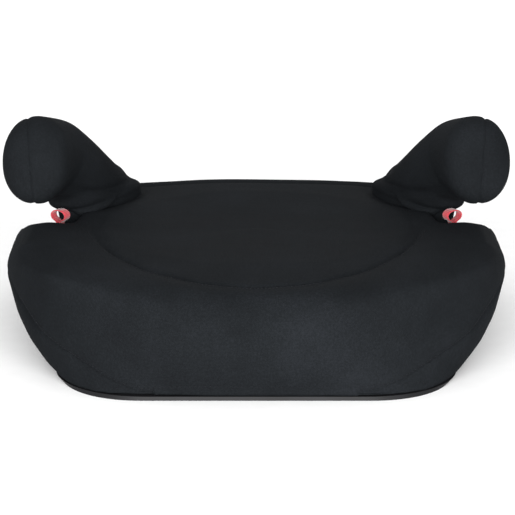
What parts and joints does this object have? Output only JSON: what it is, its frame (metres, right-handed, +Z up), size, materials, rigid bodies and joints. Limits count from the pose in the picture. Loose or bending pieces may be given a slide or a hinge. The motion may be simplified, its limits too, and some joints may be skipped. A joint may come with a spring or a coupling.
{
  "type": "backless child booster seat",
  "caption": "Backless child booster seat with a dark knit cover over foam, two padded armrest horns, lap-belt paths under them and small red webbing guide loops.",
  "frame": {"origin": "on the floor, in the middle of the seat's outline", "axes": "+Z up, -Y the way the child faces, +X to the child's left"},
  "size_m": [0.4366, 0.39, 0.1796],
  "materials": {
    "cover_knit": "matte",
    "red_webbing": "matte",
    "polyurethane_foam": "matte",
    "shell_polypropylene": "matte",
    "pan_polypropylene": "matte",
    "hem_elastic": "matte",
    "zinc_steel": "satin"
  },
  "bodies": {
    "seat": {"base_pan": "pan_polypropylene", "base_screws": "zinc_steel", "seat_shell": "shell_polypropylene", "seat_foam": "polyurethane_foam", "front_roll_foam": "polyurethane_foam", "hem_elastic": "hem_elastic", "centre_panel": "cover_knit", "front_panel": "cover_knit", "rear_panel": "cover_knit", "left_side_panel": "cover_knit", "left_armrest_core": "shell_polypropylene", "left_armrest_foam": "polyurethane_foam", "left_armrest_sleeve": "cover_knit", "left_armrest_side_panel": "cover_knit", "left_armrest_screws": "zinc_steel", "left_anchor_bar": "zinc_steel", "right_side_panel": "cover_knit", "right_armrest_core": "shell_polypropylene", "right_armrest_foam": "polyurethane_foam", "right_armrest_sleeve": "cover_knit", "right_armrest_side_panel": "cover_knit", "right_armrest_screws": "zinc_steel", "right_anchor_bar": "zinc_steel"},
    "left_loop": {"left_belt_loop": "red_webbing"},
    "right_loop": {"right_belt_loop": "red_webbing"}
  },
  "joints": [
    {"name": "left_loop_swing", "type": "hinge", "parent": "seat", "child": "left_loop", "pos_m": [0.17, 0.038, 0.0756], "axis": [0.5, -0.866, 0], "range_deg": [-10, 10], "stiffness_Nm_per_rad": 0.002},
    {"name": "right_loop_swing", "type": "hinge", "parent": "seat", "child": "right_loop", "pos_m": [-0.17, 0.038, 0.0756], "axis": [-0.5, -0.866, 0], "range_deg": [-10, 10], "stiffness_Nm_per_rad": 0.002}
  ]
}
